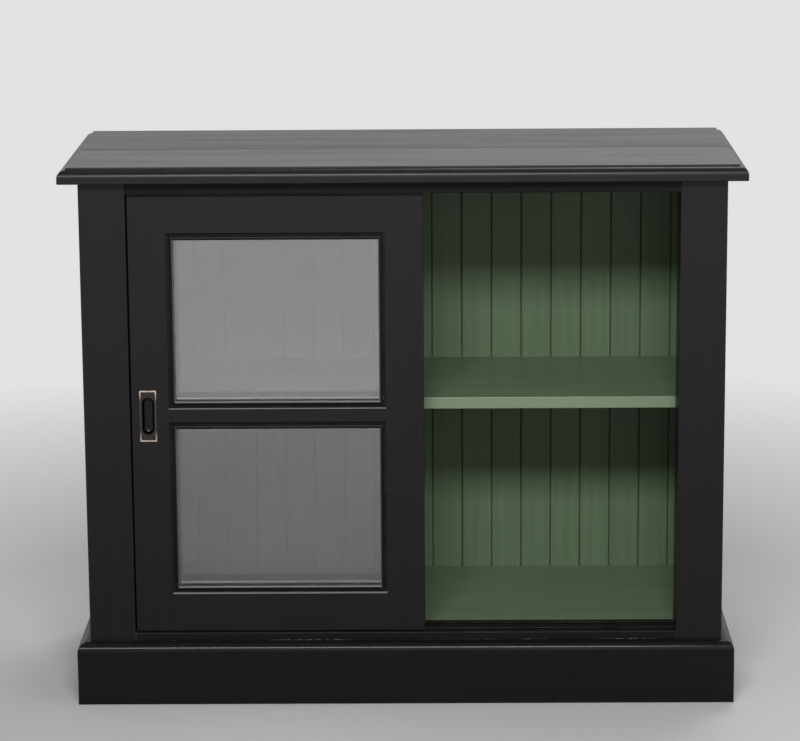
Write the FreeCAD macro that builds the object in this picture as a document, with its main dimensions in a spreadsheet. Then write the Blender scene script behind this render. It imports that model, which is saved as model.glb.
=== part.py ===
import FreeCAD, Part
import os
import re

import Sketcher

# Sideboard in black paint: a moulded top on two face posts and two side panels, a mitred plinth, a green
# boarded inside with one shelf, and two glazed doors that slide past each other in grooved tracks.
# Millimetres, X to the right, Y to the back, Z up, origin on the floor under the middle of the top.

DRIVING = {
    # moulded top of two boards
    "top_width": 1000,
    "top_depth": 400,
    "overall_height": 810,
    "top_thickness": 23,
    "front_board_depth": 194,
    "overhang_front": 20,
    "overhang_side": 28,
    "nose_step": 3,
    "nose_ledge": 1,
    "nose_radius": 11,
    # posts, side panels and the back's rebate in them
    "post_width": 68,
    "post_depth": 60,
    "side_thickness": 18,
    "side_tongue_thickness": 6,
    "side_tongue_length": 8,
    "rebate_width": 9,
    "arris_round": 1.5,
    # plinth
    "plinth_height": 94,
    "plinth_thickness": 18,
    "plinth_round": 13,
    # door head and sill, with their grooves and stub tenons
    "head_thickness": 18,
    "head_groove_depth": 10,
    "sill_thickness": 20,
    "sill_groove_depth": 8,
    "sill_rise": 12,
    "stub_length": 16,
    "stub_inset": 14,
    "stub_cheek": 1,
    "glue_gap": 0.5,
    # floor, shelf and shelf pins
    "floor_drop": 2,
    "floor_thickness": 18,
    "shelf_height": 448,
    "shelf_thickness": 18,
    "shelf_setback": 77,
    "shelf_end_gap": 0.5,
    "pin_diameter": 6,
    "pin_reach": 12,
    "pin_hole_depth": 10,
    "pin_inset": 40,
    # rear rails and cleats
    "rail_thickness": 20,
    "rail_height": 40,
    "cleat_side": 20,
    # back boards
    "back_thickness": 12,
    "back_inset": 2,
    "strip_right": 45,
    "strip_left": 35,
    "board_groove_depth": 6,
    "board_tongue_thickness": 3.6,
    "vee_depth": 1.7,
    # sliding doors
    "door_thickness": 20,
    "door_recess": 5,
    "door_pitch": 29,
    "door_end_gap": 1.5,
    "stile_width": 56,
    "rail_top_width": 55,
    "rail_middle_width": 22,
    "rail_bottom_width": 58,
    "tenon_thickness": 7,
    "tenon_shoulder": 4,
    "head_gap": 4,
    "sill_gap": 2,
    "track_tongue": 10,
    "track_clearance": 0.5,
    "tongue_lift": 0.3,
    "tongue_headroom": 3,
    # panes
    "moulding_width": 10,
    "moulding_inset": 9,
    "quirk_width": 4,
    "quirk_depth": 5.5,
    "bead_setback": 1.5,
    "bead_round": 2.8,
    "glass_thickness": 4,
    "glass_gap": 0.5,
    "bead_width": 8,
    # flush pulls
    "plate_width": 25,
    "plate_height": 77,
    "plate_thickness": 1.8,
    "plate_corner": 2,
    "rim_width": 2,
    "rim_height": 0.8,
    "pull_offset": 25,
    "cup_width": 18,
    "cup_height": 56,
    "cup_depth": 9,
    "cup_wall": 1.2,
    "cup_round": 6,
    "seat_wall": 3,
    # screws and nails
    "screw_diameter": 4,
    "screw_bite": 14,
    "screw_head_diameter": 8,
    "screw_head_height": 3,
    "screw_inset": 40,
    "nail_diameter": 2,
    "nail_length": 26,
    "nail_head_diameter": 5,
    "nail_head_height": 1,
    "fastener_clearance": 0.1,
}

# Places worked out from the driving sizes
CARCASS_HALF = "(top_width / 2 - overhang_side)"
OPENING_HALF = f"({CARCASS_HALF} - post_width)"
SIDE_INNER = f"({CARCASS_HALF} - side_thickness)"
FACE = "(overhang_front - top_depth / 2)"
BACK = "(top_depth / 2)"
POST_REAR = f"({FACE} + post_depth)"
BOARDS_REAR = f"({BACK} - back_inset)"
BOARDS_FACE = f"({BOARDS_REAR} - back_thickness)"
RAIL_FACE = f"({BOARDS_FACE} - rail_thickness)"
TOP_UNDER = "(overall_height - top_thickness)"
HEAD_UNDER = f"({TOP_UNDER} - head_thickness)"
SILL_TOP = "(plinth_height + sill_rise)"
SILL_UNDER = f"({SILL_TOP} - sill_thickness)"
FLOOR_TOP = f"({SILL_TOP} - floor_drop)"
FLOOR_UNDER = f"({FLOOR_TOP} - floor_thickness)"
BOARDS_FOOT = f"({FLOOR_UNDER} - rail_height)"
SHELF_UNDER = "(shelf_height - shelf_thickness)"
DOOR_WIDTH = f"({OPENING_HALF} + stile_width / 2)"
DOOR_LEFT = f"(door_end_gap - {OPENING_HALF})"
DOOR_RIGHT = f"({DOOR_LEFT} + {DOOR_WIDTH})"
DOOR_FOOT = f"({SILL_TOP} + sill_gap)"
DOOR_CROWN = f"({HEAD_UNDER} - head_gap)"
RAIL_WIDTHS = "(rail_top_width + rail_middle_width + rail_bottom_width)"
PANE_HEIGHT = f"(({DOOR_CROWN} - {DOOR_FOOT} - {RAIL_WIDTHS}) / 2)"
DOOR_MIDDLE = f"(({DOOR_FOOT} + {DOOR_CROWN}) / 2)"
PANE_LEFT = f"({DOOR_LEFT} + stile_width)"
PANE_RIGHT = f"({DOOR_RIGHT} - stile_width)"
LOWER_PANE = f"({DOOR_FOOT} + rail_bottom_width)"
MIDDLE_FOOT = f"({LOWER_PANE} + {PANE_HEIGHT})"
UPPER_PANE = f"({MIDDLE_FOOT} + rail_middle_width)"
TOP_RAIL_FOOT = f"({UPPER_PANE} + {PANE_HEIGHT})"
PULL_HEIGHT = f"({MIDDLE_FOOT} + rail_middle_width / 2)"
# tenons stop short of the pull's seat, with a wall of timber between them
TENON_LENGTH = "(stile_width - pull_offset - cup_width / 2 - cup_wall - fastener_clearance - seat_wall)"
# front face of each door, front one first
DOOR_FACES = {
    "front_door": f"({FACE} + door_recess)",
    "rear_door": f"({FACE} + door_recess + door_pitch)",
}

doc = FreeCAD.newDocument("sideboard")
sizes = doc.addObject("Spreadsheet::Sheet", "sizes")
for row, (alias, size) in enumerate(DRIVING.items(), start=1):
    sizes.set(f"A{row}", alias)
    sizes.set(f"B{row}", str(size))
    sizes.setAlias(f"B{row}", alias)
doc.recompute()

ALIAS = re.compile(r"\b[a-z]+(?:_[a-z]+)+\b")
AXIS_TURNS = {
    "x": FreeCAD.Rotation(FreeCAD.Vector(0, 1, 0), 90),
    "y": FreeCAD.Rotation(FreeCAD.Vector(1, 0, 0), -90),
    "z": FreeCAD.Rotation(),
}
TOLERANCE = 1e-6
nodes = {}


def bound(text):
    """The expression with every size in it read from the sheet."""
    return ALIAS.sub(r"sizes.\g<0>", text)


def number(text):
    """The present value of an expression."""
    return float(sizes.evalExpression(bound(text)))


def spread(side, low, high):
    """A range on X, mirrored to the left for side -1."""
    if side > 0:
        return (low, high)
    return (f"-({high})", f"-({low})")


def place(thing, x, y, z):
    """Bind the position of an object to the sheet."""
    for axis, text in zip("xyz", (x, y, z)):
        thing.setExpression(f"Placement.Base.{axis}", bound(text))


def box(name, x, y, z):
    """A block between a low and a high place on each axis."""
    block = doc.addObject("Part::Box", name)
    for side, (low, high) in zip(("Length", "Width", "Height"), (x, y, z)):
        block.setExpression(side, bound(f"({high}) - ({low})"))
    place(block, x[0], y[0], z[0])
    return block


def rod(name, diameter, start, length, along):
    """A round bar that begins at start and runs along one axis."""
    bar = doc.addObject("Part::Cylinder", name)
    bar.Placement.Rotation = AXIS_TURNS[along]
    bar.setExpression("Radius", bound(f"({diameter}) / 2"))
    bar.setExpression("Height", bound(length))
    place(bar, *start)
    return bar


def joined(name, pieces):
    """One solid from pieces that touch or overlap."""
    if len(pieces) == 1:
        return pieces[0]
    union = doc.addObject("Part::MultiFuse", name)
    union.Shapes = pieces
    union.Refine = True
    return union


def cut(name, base, tools):
    """The base with the tools taken away."""
    worked = doc.addObject("Part::Cut", name)
    worked.Base = base
    worked.Tool = joined(f"{name}_tools", tools)
    return worked


def group(label, solids):
    """Several separate solids kept as one node."""
    bundle = doc.addObject("Part::Compound", label)
    bundle.Links = solids
    return finished(label, bundle)


def finished(label, thing):
    """Name a sub-part and list it for writing."""
    thing.Label = label
    nodes[label] = thing
    return thing


def board(label, blocks, cuts=(), tools=()):
    """A timber piece: blocks joined together, then blocks and other tools cut away."""
    blank = joined(f"{label}_blank", [box(f"{label}_block_{i}", *b) for i, b in enumerate(blocks)])
    cutters = [box(f"{label}_cut_{i}", *c) for i, c in enumerate(cuts)] + list(tools)
    if cutters:
        blank = cut(f"{label}_worked", blank, cutters)
    return finished(label, blank)


def outline(body, name, plane, corners):
    """A closed sketch on one of the body's own planes, each corner bound to the sheet."""
    sketch = body.newObject("Sketcher::SketchObject", name)
    support = next(item for item in body.Origin.OriginFeatures if item.Role == plane)
    sketch.AttachmentSupport = (support, [""])
    sketch.MapMode = "FlatFace"
    points = [FreeCAD.Vector(number(across), number(up), 0) for across, up in corners]
    count = len(points)
    for i in range(count):
        sketch.addGeometry(Part.LineSegment(points[i], points[(i + 1) % count]))
    for i in range(count):
        sketch.addConstraint(Sketcher.Constraint("Coincident", i, 2, (i + 1) % count, 1))
    for i, corner in enumerate(corners):
        for kind, text, start in zip(("DistanceX", "DistanceY"), corner, points[i]):
            index = sketch.addConstraint(Sketcher.Constraint(kind, -1, 1, i, 1, start))
            sketch.setExpression(f"Constraints[{index}]", bound(text))
    return sketch


def pad(body, name, sketch, length):
    """The sketch raised to a length."""
    raised = body.newObject("PartDesign::Pad", name)
    raised.Profile = sketch
    raised.setExpression("Length", bound(length))
    doc.recompute()
    return raised


def round_edges(body, name, feature, radius, wanted):
    """A fillet on the edges whose middle passes the test."""
    names = [f"Edge{i}" for i, edge in enumerate(feature.Shape.Edges, start=1) if wanted(edge.CenterOfMass)]
    fillet = body.newObject("PartDesign::Fillet", name)
    fillet.Base = (feature, names)
    fillet.setExpression("Radius", bound(radius))
    doc.recompute()
    return fillet


def same(value, text):
    """Whether a coordinate lies at an expression's value."""
    return abs(value - number(text)) < TOLERANCE


def eased(label, rounds):
    """A finished piece with edges rounded: pairs of a radius and a test on the middle of an edge."""
    body = doc.addObject("PartDesign::Body", f"{label}_eased")
    body.BaseFeature = nodes[label]
    doc.recompute()
    feature = body.Group[0]
    for i, (radius, wanted) in enumerate(rounds):
        feature = round_edges(body, f"{label}_ease_{i}", feature, radius, wanted)
    nodes[label].Label = f"{label}_before_easing"
    return finished(label, body)


# Screws that hold the top: up through the cleats, one near each cleat's end
CLEAT_INNER = f"({SIDE_INNER} - cleat_side)"
CLEAT_UNDER = f"({TOP_UNDER} - cleat_side)"
SCREW_ROWS = {"front": f"({POST_REAR} + screw_inset)", "rear": f"({RAIL_FACE} - screw_inset)"}
HOLE_DIAMETER = "screw_diameter + 2 * fastener_clearance"
SCREW_REACH = "cleat_side + screw_bite"


def screw_holes(owner, row):
    """Holes for the left and right screw of a row, from under the cleats into the top."""
    holes = []
    for side in (-1, 1):
        start = (f"{side} * ({CLEAT_INNER} + cleat_side / 2)", SCREW_ROWS[row], CLEAT_UNDER)
        name = f"{owner}_{row}_hole_{'left' if side < 0 else 'right'}"
        holes.append(rod(name, HOLE_DIAMETER, start, f"{SCREW_REACH} + glue_gap", "z"))
    return holes


# Top: two boards glued edge to edge, with a raised field inside a rounded nose along the front and both ends
def top_board(label, y_low, y_high, row, moulded_front):
    slab_height = "(top_thickness - nose_step)"
    field_half = "(top_width / 2 - nose_ledge - nose_radius)"
    field_low = f"({y_low} + nose_ledge + nose_radius)" if moulded_front else y_low
    body = doc.addObject("PartDesign::Body", f"{label}_body")

    def rectangle(half, low):
        return [(f"-{half}", low), (half, low), (half, y_high), (f"-{half}", y_high)]

    slab_sketch = outline(body, f"{label}_slab_outline", "XY_Plane", rectangle("(top_width / 2)", y_low))
    slab = pad(body, f"{label}_slab", slab_sketch, slab_height)

    def nose_edge(middle):
        on_top = same(middle.z, slab_height)
        at_end = same(abs(middle.x), "top_width / 2")
        at_front = moulded_front and same(middle.y, y_low)
        return on_top and (at_end or at_front)

    round_edges(body, f"{label}_nose", slab, "nose_radius", nose_edge)
    field_sketch = outline(body, f"{label}_field_outline", "XY_Plane", rectangle(field_half, field_low))
    field_sketch.setExpression("AttachmentOffset.Base.z", bound(slab_height))
    field = pad(body, f"{label}_field", field_sketch, "nose_step")

    def sharp_edge(middle):
        at_end = same(abs(middle.x), "top_width / 2") or same(abs(middle.x), field_half)
        at_front = moulded_front and (same(middle.y, y_low) or same(middle.y, field_low))
        return (same(middle.z, "0") or same(middle.z, "top_thickness")) and (at_end or at_front)

    round_edges(body, f"{label}_arris", field, "arris_round", sharp_edge)
    place(body, "0", "0", TOP_UNDER)
    finished(label, cut(f"{label}_worked", body, screw_holes(label, row)))


TOP_FRONT = "(-top_depth / 2)"
TOP_JOINT = f"({TOP_FRONT} + front_board_depth)"
top_board("top_board_front", TOP_FRONT, TOP_JOINT, "front", True)
top_board("top_board_rear", TOP_JOINT, BACK, "rear", False)

# Head and sill: track boards between the posts, with a groove for either door and a stub tenon at each end
GROOVES = []
for door_face in DOOR_FACES.values():
    groove_middle = f"({door_face} + door_thickness / 2)"
    groove_half = "(track_tongue / 2 + track_clearance)"
    GROOVES.append((f"{groove_middle} - {groove_half}", f"{groove_middle} + {groove_half}"))
OPENING = (f"-{OPENING_HALF}", OPENING_HALF)
POST_RANGE = (FACE, POST_REAR)
STUB_RANGE = (f"{FACE} + stub_inset", f"{POST_REAR} - stub_inset")
SILL_GROOVE_FLOOR = f"({SILL_TOP} - sill_groove_depth)"
HEAD_GROOVE_ROOF = f"({HEAD_UNDER} + head_groove_depth)"
SILL_STUB = (f"{SILL_UNDER} + stub_cheek", f"{SILL_GROOVE_FLOOR} - stub_cheek")
HEAD_STUB = (f"{HEAD_GROOVE_ROOF} + stub_cheek", f"{TOP_UNDER} - stub_cheek")


def track(label, height, stub_height, groove_height):
    stub_half = f"({OPENING_HALF} + stub_length)"
    blocks = [(OPENING, POST_RANGE, height), ((f"-{stub_half}", stub_half), STUB_RANGE, stub_height)]
    board(label, blocks, [(OPENING, groove, groove_height) for groove in GROOVES])


def front_arris(height):
    return lambda middle: same(middle.y, FACE) and same(middle.z, height)


track("door_sill", (SILL_UNDER, SILL_TOP), SILL_STUB, (SILL_GROOVE_FLOOR, SILL_TOP))
eased("door_sill", [("arris_round", front_arris(SILL_TOP))])
track("door_head", (HEAD_UNDER, TOP_UNDER), HEAD_STUB, (HEAD_UNDER, HEAD_GROOVE_ROOF))
eased("door_head", [("arris_round", front_arris(HEAD_UNDER))])

# Rows of shelf pins and of nails, which the side panels, rails and back boards are drilled for
PIN_ROWS = (f"({FACE} + shelf_setback + pin_inset)", f"({BOARDS_FACE} - pin_inset)")
PIN_MIDDLE = f"({SHELF_UNDER} - pin_diameter / 2)"
NAIL_ROWS = (f"({FLOOR_UNDER} - rail_height / 2)", f"({TOP_UNDER} - rail_height / 2)")
PIN_HOLE = "pin_diameter + 2 * fastener_clearance"
NAIL_HOLE = "nail_diameter + 2 * fastener_clearance"
FULL_HEIGHT = ("0", TOP_UNDER)
MID_HEIGHT = f"({TOP_UNDER} / 2)"

# Posts and side panels: the panel's tongue sits in a groove down the back of the post
for side, hand in ((-1, "left"), (1, "right")):
    tongue_inner = f"({SIDE_INNER} + (side_thickness - side_tongue_thickness) / 2)"
    tongue = spread(side, tongue_inner, f"{tongue_inner} + side_tongue_thickness")
    mortise = spread(side, OPENING_HALF, f"{OPENING_HALF} + stub_length + glue_gap")
    board(
        f"post_front_{hand}",
        [(spread(side, OPENING_HALF, CARCASS_HALF), POST_RANGE, FULL_HEIGHT)],
        [
            (tongue, (f"{POST_REAR} - side_tongue_length - glue_gap", POST_REAR), FULL_HEIGHT),
            (mortise, STUB_RANGE, SILL_STUB),
            (mortise, STUB_RANGE, HEAD_STUB),
        ],
    )

    def post_arris(middle):
        return same(middle.y, FACE) and same(middle.z, MID_HEIGHT)

    eased(f"post_front_{hand}", [("arris_round", post_arris)])
    pin_holes = []
    for row, pin_row in enumerate(PIN_ROWS):
        hole_low = spread(side, SIDE_INNER, f"{SIDE_INNER} + pin_hole_depth + glue_gap")[0]
        start = (hole_low, pin_row, PIN_MIDDLE)
        name = f"side_panel_{hand}_pin_hole_{row}"
        pin_holes.append(rod(name, PIN_HOLE, start, "pin_hole_depth + glue_gap", "x"))
    rebate = spread(side, SIDE_INNER, f"{SIDE_INNER} + rebate_width")
    board(
        f"side_panel_{hand}",
        [
            (spread(side, SIDE_INNER, CARCASS_HALF), (POST_REAR, BACK), FULL_HEIGHT),
            (tongue, (f"{POST_REAR} - side_tongue_length", POST_REAR), FULL_HEIGHT),
        ],
        [(rebate, (BOARDS_FACE, BACK), (BOARDS_FOOT, TOP_UNDER))],
        pin_holes,
    )

    def rear_arris(middle):
        return same(middle.y, BACK) and same(abs(middle.x), CARCASS_HALF) and same(middle.z, MID_HEIGHT)

    eased(f"side_panel_{hand}", [("arris_round", rear_arris)])

# Plinth: three boards round the foot, mitred at the front corners, upper outer edge rounded over
PLINTH_HALF = f"({CARCASS_HALF} + plinth_thickness)"
PLINTH_FRONT = f"({FACE} - plinth_thickness)"


def plinth_board(label, corners, outer_edge):
    body = doc.addObject("PartDesign::Body", f"{label}_body")
    sketch = outline(body, f"{label}_outline", "XY_Plane", corners)
    raised = pad(body, f"{label}_board", sketch, "plinth_height")

    def top_outer(middle):
        return same(middle.z, "plinth_height") and outer_edge(middle)

    round_edges(body, f"{label}_round", raised, "plinth_round", top_outer)
    finished(label, body)


plinth_board(
    "plinth_front",
    [
        (f"-{PLINTH_HALF}", PLINTH_FRONT),
        (PLINTH_HALF, PLINTH_FRONT),
        (CARCASS_HALF, FACE),
        (f"-{CARCASS_HALF}", FACE),
    ],
    lambda middle: same(middle.y, PLINTH_FRONT),
)
for side, hand in ((-1, "left"), (1, "right")):
    plinth_board(
        f"plinth_{hand}",
        [
            (f"{side} * {PLINTH_HALF}", PLINTH_FRONT),
            (f"{side} * {PLINTH_HALF}", BACK),
            (f"{side} * {CARCASS_HALF}", BACK),
            (f"{side} * {CARCASS_HALF}", FACE),
        ],
        lambda middle: same(abs(middle.x), PLINTH_HALF),
    )

# Floor, and the shelf on its four pins
INSIDE = (f"-{SIDE_INNER}", SIDE_INNER)
board("floor_panel", [(INSIDE, (POST_REAR, BOARDS_FACE), (FLOOR_UNDER, FLOOR_TOP))])
SHELF_END = f"({SIDE_INNER} - shelf_end_gap)"
SHELF_RANGE = (f"{FACE} + shelf_setback", BOARDS_FACE)
shelf_body = doc.addObject("PartDesign::Body", "shelf_body")
shelf_corners = [
    (f"-{SHELF_END}", SHELF_RANGE[0]),
    (SHELF_END, SHELF_RANGE[0]),
    (SHELF_END, SHELF_RANGE[1]),
    (f"-{SHELF_END}", SHELF_RANGE[1]),
]
shelf_sketch = outline(shelf_body, "shelf_outline", "XY_Plane", shelf_corners)
shelf_board = pad(shelf_body, "shelf_board", shelf_sketch, "shelf_thickness")
round_edges(shelf_body, "shelf_arris", shelf_board, "arris_round",
            lambda middle: same(middle.y, SHELF_RANGE[0]) and same(middle.x, "0"))
place(shelf_body, "0", "0", SHELF_UNDER)
finished("shelf", shelf_body)
pins = []
for side, hand in ((-1, "left"), (1, "right")):
    for row, pin_row in enumerate(PIN_ROWS):
        low = spread(side, f"{SIDE_INNER} - pin_reach", f"{SIDE_INNER} + pin_hole_depth")[0]
        pins.append(rod(f"pin_{hand}_{row}", "pin_diameter", (low, pin_row, PIN_MIDDLE),
                        "pin_reach + pin_hole_depth", "x"))
group("shelf_pins", pins)

# Back boards between the rebates: a ripped board at either end and full boards of equal cover between them
FULL_BOARDS = 9
BACK_HALF = f"({SIDE_INNER} + rebate_width)"
BOARD_COVER = f"((2 * {BACK_HALF} - strip_right - strip_left) / {FULL_BOARDS})"
joints = [f"({BACK_HALF} - strip_right - {i} * {BOARD_COVER})" for i in range(FULL_BOARDS + 1)]
BOARD_EDGES = [BACK_HALF] + joints + [f"(-{BACK_HALF})"]
BOARD_LIMITS = list(zip(BOARD_EDGES[1:], BOARD_EDGES[:-1]))
BOARD_HEIGHT = (BOARDS_FOOT, TOP_UNDER)
BOARD_MIDDLE = f"({BOARDS_FACE} + back_thickness / 2)"
TONGUE_RANGE = tuple(f"{BOARD_MIDDLE} {sign} board_tongue_thickness / 2" for sign in "-+")


def nail_place(index):
    """Nails stand a quarter of the way across a board, and beside the joint of the last one."""
    low, high = BOARD_LIMITS[index]
    if index == len(BOARD_LIMITS) - 1:
        return f"({high} - board_groove_depth - nail_head_diameter)"
    return f"({low} + ({high} - {low}) / 4)"


def vee(name, x):
    """A square bar on edge that cuts one V-groove down the face of the boards."""
    lowest = f"{BOARDS_FACE} - vee_depth"
    side = "vee_depth * sqrt(2)"
    bar = box(name, (x, f"{x} + {side}"), (lowest, f"{lowest} + {side}"), BOARD_HEIGHT)
    bar.Placement.Rotation = FreeCAD.Rotation(FreeCAD.Vector(0, 0, 1), 45)
    return bar


def nail_holes(owner, x, rows):
    depth = "nail_length + glue_gap"
    holes = []
    for row in rows:
        name = f"{owner}_nail_hole_{len(holes)}"
        start = (x, f"{BOARDS_REAR} - nail_length - glue_gap", row)
        holes.append(rod(name, NAIL_HOLE, start, depth, "y"))
    return holes


nails = []
for index, (low, high) in enumerate(BOARD_LIMITS):
    label = f"back_board_{index + 1:02d}"
    is_first = index == 0
    is_last = index == len(BOARD_LIMITS) - 1
    blocks = [((low, high), (BOARDS_FACE, BOARDS_REAR), BOARD_HEIGHT)]
    cuts = []
    vees = []
    if not is_last:
        blocks.append(((f"{low} - board_groove_depth + glue_gap", low), TONGUE_RANGE, BOARD_HEIGHT))
        vees.append(vee(f"{label}_vee_left", low))
    if not is_first:
        cuts.append(((f"{high} - board_groove_depth", high), TONGUE_RANGE, BOARD_HEIGHT))
        vees.append(vee(f"{label}_vee_right", high))
    if not is_first and not is_last:
        vees.append(vee(f"{label}_vee_middle", f"({high} - {BOARD_COVER} / 2)"))
    nail_x = nail_place(index)
    board(label, blocks, cuts, vees + nail_holes(label, nail_x, NAIL_ROWS))
    for row, height in enumerate(NAIL_ROWS):
        shank = rod(f"nail_{index}_{row}_shank", "nail_diameter",
                    (nail_x, f"{BOARDS_REAR} - nail_length", height), "nail_length", "y")
        head = rod(f"nail_{index}_{row}_head", "nail_head_diameter",
                   (nail_x, BOARDS_REAR, height), "nail_head_height", "y")
        nails.append(joined(f"nail_{index}_{row}", [shank, head]))
group("back_nails", nails)

# Rails across the rear that the boards are nailed to, under the top and under the floor
RAIL_RANGE = (RAIL_FACE, BOARDS_FACE)
RAILS = {
    "bottom_rear_rail": (NAIL_ROWS[0], (BOARDS_FOOT, FLOOR_UNDER)),
    "top_rear_rail": (NAIL_ROWS[1], (f"{TOP_UNDER} - rail_height", TOP_UNDER)),
}
for label, (nail_row, height) in RAILS.items():
    holes = []
    for index in range(len(BOARD_LIMITS)):
        holes += nail_holes(f"{label}_{index}", nail_place(index), [nail_row])
    board(label, [(INSIDE, RAIL_RANGE, height)], (), holes)

# Cleats along the side panels: the upper pair holds the top's screws, the lower pair carries the floor
screws = []
for side, hand in ((-1, "left"), (1, "right")):
    across = spread(side, CLEAT_INNER, SIDE_INNER)
    along = (POST_REAR, RAIL_FACE)
    board(f"floor_cleat_{hand}", [(across, along, (f"{FLOOR_UNDER} - cleat_side", FLOOR_UNDER))])
    holes = []
    for row, y in SCREW_ROWS.items():
        x = f"{side} * ({CLEAT_INNER} + cleat_side / 2)"
        hole_name = f"top_cleat_{hand}_{row}_hole"
        holes.append(rod(hole_name, HOLE_DIAMETER, (x, y, CLEAT_UNDER), "cleat_side", "z"))
        head = rod(f"screw_{hand}_{row}_head", "screw_head_diameter",
                   (x, y, f"{CLEAT_UNDER} - screw_head_height"), "screw_head_height", "z")
        shank = rod(f"screw_{hand}_{row}_shank", "screw_diameter", (x, y, CLEAT_UNDER), SCREW_REACH, "z")
        screws.append(joined(f"screw_{hand}_{row}", [head, shank]))
    board(f"top_cleat_{hand}", [(across, along, (CLEAT_UNDER, TOP_UNDER))], (), holes)
group("top_screws", screws)


# Doors: a mortised frame with a tongue along its foot and its crown, which run in the tracks
def stadium(name, x, width, height, y):
    """An upright slot shape at the pull's height: straight sides with round ends."""
    straight = f"(({height}) - ({width})) / 2"
    thickness = f"({y[1]}) - ({y[0]})"
    pieces = [box(f"{name}_straight", (f"{x} - ({width}) / 2", f"{x} + ({width}) / 2"), y,
                  (f"{PULL_HEIGHT} - {straight}", f"{PULL_HEIGHT} + {straight}"))]
    for end, sign in (("lower", "-"), ("upper", "+")):
        start = (x, y[0], f"{PULL_HEIGHT} {sign} {straight}")
        pieces.append(rod(f"{name}_{end}", width, start, thickness, "y"))
    return joined(name, pieces)


def pull(label, x, face):
    """A plate with a raised rim on the stile's face, and a round-bottomed cup let into the stile."""
    cup_rear = f"({face} + cup_depth + cup_wall)"
    cup_floor = f"({face} + cup_depth)"
    plate_face = f"({face} - plate_thickness)"
    plate = box(f"{label}_plate", (f"{x} - plate_width / 2", f"{x} + plate_width / 2"), (plate_face, face),
                (f"{PULL_HEIGHT} - plate_height / 2", f"{PULL_HEIGHT} + plate_height / 2"))
    field_across = "(plate_width / 2 - rim_width)"
    field_up = "(plate_height / 2 - rim_width)"
    field = box(f"{label}_field", (f"{x} - {field_across}", f"{x} + {field_across}"),
                (plate_face, f"{plate_face} + rim_height"),
                (f"{PULL_HEIGHT} - {field_up}", f"{PULL_HEIGHT} + {field_up}"))
    shell = stadium(f"{label}_shell", x, "cup_width + 2 * cup_wall", "cup_height + 2 * cup_wall",
                    (face, cup_rear))
    hollow = stadium(f"{label}_hollow", x, "cup_width", "cup_height", (plate_face, cup_floor))
    finished(label, cut(f"{label}_worked", joined(f"{label}_blank", [plate, shell]), [hollow, field]))

    def plate_corner(middle):
        at_corner = same(abs(middle.x - number(x)), "plate_width / 2")
        return at_corner and same(abs(middle.z - number(PULL_HEIGHT)), "plate_height / 2")

    eased(label, [("plate_corner", plate_corner), ("cup_round", lambda middle: same(middle.y, cup_floor))])


def strip(name, base_corners, bead_corners, rear):
    """One mitred strip on the glass: a thin base with a round bead along its inner side."""
    base_depth = "(moulding_inset - quirk_depth)"
    full_depth = "(moulding_inset - bead_setback)"
    body = doc.addObject("PartDesign::Body", name)
    base_sketch = outline(body, f"{name}_base_outline", "XZ_Plane", base_corners)
    pad(body, f"{name}_base", base_sketch, base_depth)
    bead_sketch = outline(body, f"{name}_bead_outline", "XZ_Plane", bead_corners)
    bead = pad(body, f"{name}_bead", bead_sketch, full_depth)
    along = 2 if same(number(bead_corners[0][0]), bead_corners[1][0]) else 0
    half_way = number(f"({bead_corners[0][along // 2]} + {bead_corners[1][along // 2]}) / 2")

    def bead_edge(middle):
        return same(-middle.y, full_depth) and abs(middle[along] - half_way) < TOLERANCE

    round_edges(body, f"{name}_round", bead, "bead_round", bead_edge)
    place(body, "0", rear, "0")
    return body


def pane_moulding(label, foot, rear):
    """Four strips round a pane, mitred at the corners."""
    crown = f"({foot} + {PANE_HEIGHT})"

    def ring(inset):
        left, right = f"({PANE_LEFT} + {inset})", f"({PANE_RIGHT} - {inset})"
        low, high = f"({foot} + {inset})", f"({crown} - {inset})"
        return [(left, low), (right, low), (right, high), (left, high)]

    outer, quirk, inner = ring("0"), ring("quirk_width"), ring("moulding_width")
    strips = []
    for i, where in enumerate(("bottom", "right", "top", "left")):
        after = (i + 1) % len(outer)
        base_corners = [outer[i], outer[after], inner[after], inner[i]]
        bead_corners = [quirk[i], quirk[after], inner[after], inner[i]]
        strips.append(strip(f"{label}_{where}", base_corners, bead_corners, rear))
    group(label, strips)


def glazing_strips(name, foot, y):
    """Four square beads behind a pane: two across, two upright between them."""
    crown = f"({foot} + {PANE_HEIGHT})"
    across = (PANE_LEFT, PANE_RIGHT)
    upright = (f"{foot} + bead_width", f"{crown} - bead_width")
    return [
        box(f"{name}_bottom", across, y, (foot, f"{foot} + bead_width")),
        box(f"{name}_top", across, y, (f"{crown} - bead_width", crown)),
        box(f"{name}_left", (PANE_LEFT, f"{PANE_LEFT} + bead_width"), y, upright),
        box(f"{name}_right", (f"{PANE_RIGHT} - bead_width", PANE_RIGHT), y, upright),
    ]


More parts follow.
